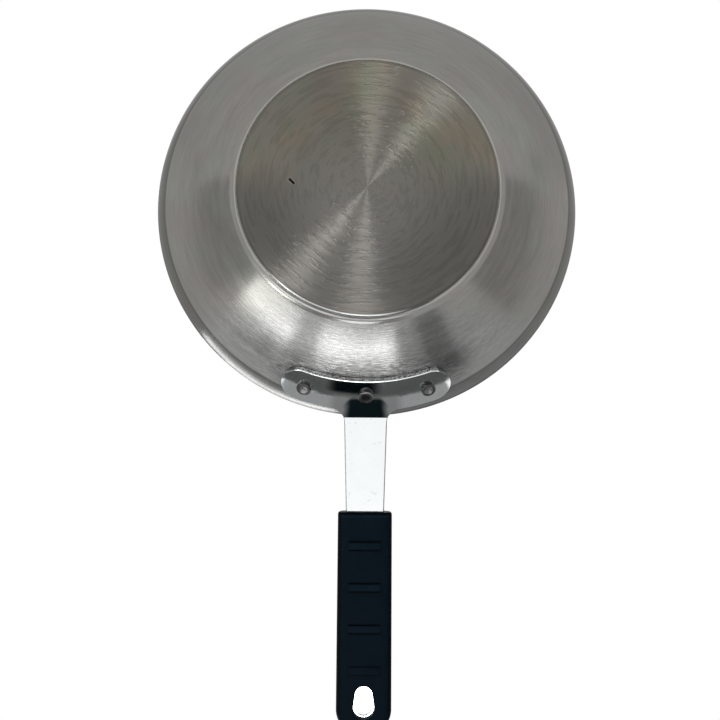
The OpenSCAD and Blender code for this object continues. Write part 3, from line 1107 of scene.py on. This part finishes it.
# Name, azimuth and elevation in degrees, distance, size, watts, and whether the lamp
# lights plain surfaces as well as glossy ones
LAMPS = (
    ("low_front", -86, -17, 0.9, (0.52, 0.15), 1.65, False),
    ("low_side", -43.5, -16.5, 0.9, (0.42, 0.15), 1.15, False),
    ("low_gap", -63, -17, 0.9, (0.2, 0.15), 0.14, False),
    ("under_front", -86, -50, 0.9, (0.21, 0.3), 2.2, False),
    ("under_side", -38.5, -50, 0.9, (0.15, 0.3), 2.05, False),
    ("lip_front", -54, 36, 1.1, (0.88, 0.16), 4.7, False),
    ("key", -58, 52, 1.1, (0.6, 0.3), 1.9, True),
    ("fill", 71, 78, 1.3, (0.5, 0.4), 2.6, True),
    ("top", 0, 88, 1.5, (1.2, 1.2), 6, True))

# Name, azimuth and elevation, distance, size, tone, and the point the card faces
CARDS = (
    ("horizon_low", -92, -0.5, 1.0, (1.55, 0.2), 0.075, STRAP_MIDDLE),
    ("horizon_high", -90, 11, 1.0, (1.2, 0.2), 0.28, STRAP_MIDDLE),
    ("side_right", -174, -16, 0.9, (0.8, 0.6), 0.64, BOWL_MIDDLE),
    ("gap_right", -121, -18, 0.9, (0.2, 0.38), 0.4, BOWL_MIDDLE),
    ("side_left", -3, -16, 0.9, (0.66, 0.6), 0.66, BOWL_MIDDLE))


def camera():
    """Looks up at the underside, with the handle down the picture."""
    data = bpy.data.cameras.new("camera")
    data.lens = CAMERA_LENS
    data.clip_start, data.clip_end = 0.01, 50
    eye = put("camera", data)
    forward = (CAMERA_AIM - CAMERA_AT).normalized()
    right = forward.cross(Vector((0, 1, 0))).normalized()
    up = right.cross(forward)
    c, s = cos(CAMERA_ROLL), sin(CAMERA_ROLL)
    right, up = right * c + up * s, up * c - right * s
    turn = Matrix((right, up, -forward)).transposed().to_4x4()
    eye.matrix_world = Matrix.Translation(CAMERA_AT) @ turn
    bpy.context.scene.camera = eye


def aim(azimuth, elevation, distance, centre):
    """A point seen from centre, and the turn that looks back at centre."""
    away = Vector((cos(azimuth) * cos(elevation), sin(azimuth) * cos(elevation),
                   sin(elevation)))
    at = Vector(centre) + away * distance
    return at, (-away).to_track_quat("-Z", "Y")


def soft_lamp(name, azimuth, elevation, distance, size, watts, lights_all):
    """An area lamp aimed at the bowl."""
    data = bpy.data.lights.new(name, "AREA")
    data.shape = "RECTANGLE"
    data.size, data.size_y = size
    data.energy = watts
    lamp = put(name, data)
    lamp.location, turn = aim(azimuth, elevation, distance, BOWL_MIDDLE)
    lamp.rotation_mode = "QUATERNION"
    lamp.rotation_quaternion = turn
    lamp.visible_camera = False
    lamp.visible_diffuse = lights_all


def one_sided(shader, tone, shown=1.0):
    """A plain glow that is clear from behind, and where shown is 0."""
    behind = shader.node("NewGeometry").outputs["Backfacing"]
    front = shader.product(shown, shader.maths("SUBTRACT", 1.0, behind))
    glow = shader.node("Emission", Color=tone, Strength=1.0)
    return shader.blend(front, shader.node("BsdfTransparent"), glow)


def oblong(x, y, z=0):
    return [Vector(c) for c in ((-x, -y, z), (x, -y, z), (x, y, z), (-x, y, z))]


def card(name, azimuth, elevation, distance, size, tone, centre):
    """A far grey card, square to the line from centre."""
    at, turn = aim(azimuth, elevation, distance, centre)
    corners = [at + turn @ c for c in oblong(size[0] / 2, size[1] / 2)]
    hang_card(name, corners, one_sided(Shader(name), grey(tone)), Vector(centre))


# A dark card's foot arches up towards its sides, from this far inside its core
FLAG_ARCH_IN = 0.0045
FLAG_ARCH_RISE = 200
FLAG_CORE_FADE = (0.003, 0.0025)
FLAG_GAP = 0.0004


def flag_card(name, across, heights, core, fades, tone, flank):
    """A small dark upright card under the bend. Beyond core its sides are lighter,
    in the tone flank. fades are the widths over which its sides, foot and head go."""
    shader = Shader(name)
    x, z = shader.axis(0), shader.axis(2)
    (left, right), (low, high), (side_fade, foot_fade, head_fade) = across, heights, fades
    half = (right - left) / 2
    off = shader.apart(x, (left + right) / 2)
    shown = shader.product(shader.fall(off, half - side_fade, half),
                           shader.rise(z, low, low + foot_fade),
                           shader.fall(z, high - head_fade, high))
    lift = shader.maths("MAXIMUM", shader.maths("SUBTRACT", off, core - FLAG_ARCH_IN), 0)
    lift = shader.product(shader.maths("POWER", lift, 2), FLAG_ARCH_RISE)
    arch = shader.fall(shader.maths("SUBTRACT", z, lift), low, low + foot_fade)
    past_core = shader.rise(off, core - FLAG_CORE_FADE[0], core + FLAG_CORE_FADE[1])
    beyond = shader.maths("MAXIMUM", arch, past_core)
    colour = shader.mix(beyond, grey(tone, (0.5, 1.0, 1.15)), grey(flank))
    y = -BAR_AT[0] * MM - FLAG_GAP
    corners = [(left, y, low), (right, y, low), (right, y, high), (left, y, high)]
    flag = hang_card(name, corners, one_sided(shader, colour, shown), Vector((0, 0, low)))
    flag.visible_shadow = True


def hang_card(name, corners, material, front):
    """A stage card that only reflections show. It faces the point front."""
    corners = [Vector(c) for c in corners]
    normal = (corners[1] - corners[0]).cross(corners[2] - corners[0])
    if normal.dot(front - corners[0]) < 0:
        corners.reverse()
    flag = new_piece(name, corners, [(0, 1, 2, 3)], [material])
    for ray in ("camera", "diffuse", "shadow", "transmission"):
        setattr(flag, "visible_" + ray, False)
    return flag


def floor():
    """A pale floor that shows from above. From below, and to reflections and
    shadow rays, it is clear, so the underside is lit and seen."""
    shader = Shader("floor")
    path = shader.node("LightPath").outputs
    behind = shader.node("NewGeometry").outputs["Backfacing"]
    clear = shader.maths("MAXIMUM", path["Is Shadow Ray"], path["Is Glossy Ray"])
    clear = shader.maths("MAXIMUM", clear, behind)
    pale = shader.node("BsdfDiffuse", Color=grey(0.86))
    material = shader.blend(clear, pale, shader.node("BsdfTransparent"))
    ground = new_piece("floor", oblong(FLOOR_REACH, FLOOR_REACH, -FLOOR_GAP),
                       [(0, 1, 2, 3)], [material])


def world():
    """White to the camera and in the metal, and a plain level on diffuse."""
    sky = bpy.data.worlds.new("studio")
    bpy.context.scene.world = sky
    nodes = Nodes(sky, "World")
    path = nodes.node("LightPath").outputs
    seen = nodes.maths("MAXIMUM", path["Is Camera Ray"], path["Is Glossy Ray"])
    seen = nodes.maths("MAXIMUM", seen, path["Is Transmission Ray"])
    level = nodes.remap(seen, 0, 1, WORLD_LEVEL, 1.0)
    nodes.show(nodes.node("Background", Color=(1, 1, 1, 1), Strength=level))


def studio():
    camera()
    floor()
    world()
    bpy.context.scene.view_settings.view_transform = "Standard"
    for lamp in LAMPS:
        soft_lamp(*lamp)
    for one in CARDS:
        card(*one)
    z = BAR_AT[1] * MM
    flag_card("bend_flag", (-0.021, 0.021), (z - 0.0092, z - 0.0002), core=0.0105,
              fades=(0.007, 0.003, 0.0001), tone=0.0075, flank=0.19)
    flag_card("strap_flag", (-0.0096, 0.0234), (z - 0.022, z - 0.0088), core=0.0117,
              fades=(0.005, 0.004, 0.002), tone=0.003, flank=0.03)


# Build
def build():
    bowl_piece = bowl()
    handle_piece = handle()
    # Painted shade on the rivets: the shank side is nearly black, the dishes are darker, and the
    # side rivets' stub rounding is dark
    metal, dark = rivet_metal("rivet_metal", 0.2, 0.12), rivet_metal("rivet_side_shade", 0.02, 0.01)
    side_metals = [metal, rivet_metal("rivet_face_shade", 0.17, 0.05), dark,
                   rivet_metal("rivet_edge_shade", 0.06, 0.03)]
    metals = [metal, rivet_metal("rivet_dish_shade", 0.07, 0.02), dark, metal]
    turn = math.degrees(RIVET_PITCH / TURN_R)
    rivets = [rivet("left_rivet", -turn, STRAP_MID, side_metals),
              rivet("centre_rivet", 0, STRAP_MID + MIDDLE_DROP, metals),
              rivet("right_rivet", turn, STRAP_MID, side_metals)]
    grip_piece = grip()
    for piece, node, slot in ((bowl_piece, "pan_body", "bowl"),
                              (handle_piece, "handle", "plated_steel"),
                              (rivets[0], "rivet_left", "rivets"),
                              (rivets[1], "rivet_centre", "rivets"),
                              (rivets[2], "rivet_right", "rivets")):
        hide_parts(node)
        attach(piece, "pan")
    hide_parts("grip_sleeve")
    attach(grip_piece, "grip")


build()
studio()
